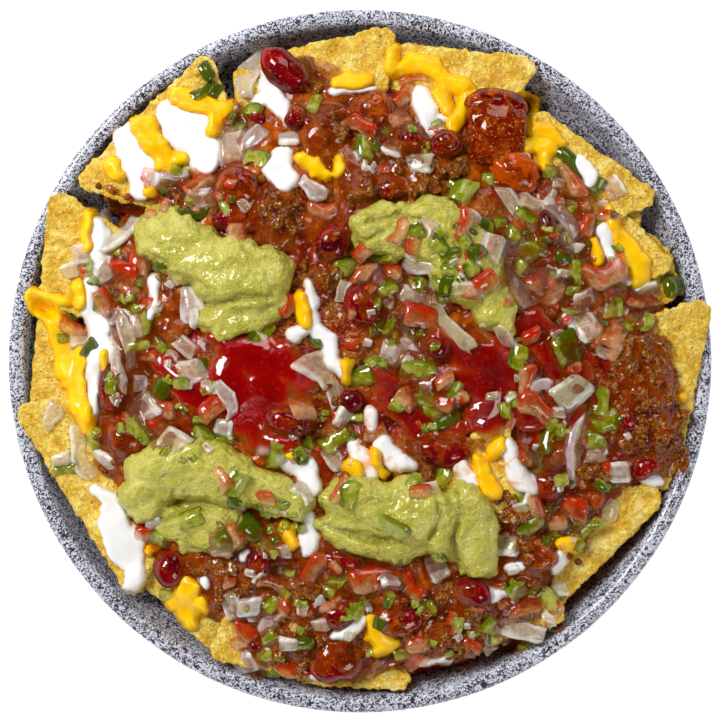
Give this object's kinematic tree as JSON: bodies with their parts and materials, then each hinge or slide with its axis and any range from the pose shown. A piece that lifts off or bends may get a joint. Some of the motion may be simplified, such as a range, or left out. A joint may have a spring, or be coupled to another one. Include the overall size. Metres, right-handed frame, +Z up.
{
  "type": "nachos",
  "caption": "Loaded nachos on a round speckled plate: corn chips under chilli, beans, salsa, guacamole, sour cream and cheese sauce.",
  "frame": {"origin": "centre of the plate's underside, on the surface it rests on", "axes": "+Z up, +X to the right and +Y to the far side as seen from above with the pair of chips that reach the plate's lip at left and right"},
  "size_m": [0.25, 0.25, 0.0586],
  "materials": {
    "plate": "pale blue-grey glaze with fine dark speckle, semi-gloss",
    "chip": "dry, bumpy fried corn chip, matte with small toasted specks",
    "heap": "wet crumbly minced-meat chilli with diced onion, pepper and tomato",
    "bean": "sauce-coated kidney bean, glossy",
    "guacamole": "moist mashed avocado, soft sheen",
    "sauce": "clear deep red chilli sauce, high gloss",
    "cream": "smooth sour cream, soft gloss",
    "cheese": "runny orange-yellow cheese sauce, gloss"
  },
  "bodies": {
    "root": {"bean_01": "bean", "bean_02": "bean", "bean_03": "bean", "bean_04": "bean", "bean_05": "bean", "bean_06": "bean", "bean_07": "bean", "bean_08": "bean", "bean_09": "bean", "bean_10": "bean", "bean_11": "bean", "bean_12": "bean", "bean_13": "bean", "bean_14": "bean", "cheese_1": "cheese", "cheese_2": "cheese", "cheese_3": "cheese", "cheese_4": "cheese", "cheese_5": "cheese", "cheese_6": "cheese", "cheese_7": "cheese", "cheese_8": "cheese", "chip_01": "chip", "chip_02": "chip", "chip_03": "chip", "chip_04": "chip", "chip_05": "chip", "chip_06": "chip", "chip_07": "chip", "chip_08": "chip", "chip_09": "chip", "chip_10": "chip", "chip_11": "chip", "chip_12": "chip", "chip_13": "chip", "chip_14": "chip", "chip_15": "chip", "chip_16": "chip", "chip_17": "chip", "chip_18": "chip", "chip_19": "chip", "cream_1": "cream", "cream_2": "cream", "cream_3": "cream", "cream_4": "cream", "cream_5": "cream", "cream_6": "cream", "cream_7": "cream", "cream_8": "cream", "cream_9": "cream", "guacamole_1": "guacamole", "guacamole_2": "guacamole", "guacamole_3": "guacamole", "guacamole_4": "guacamole", "heap": "heap", "plate": "plate", "sauce_1": "sauce", "sauce_2": "sauce"}
  },
  "joints": []
}
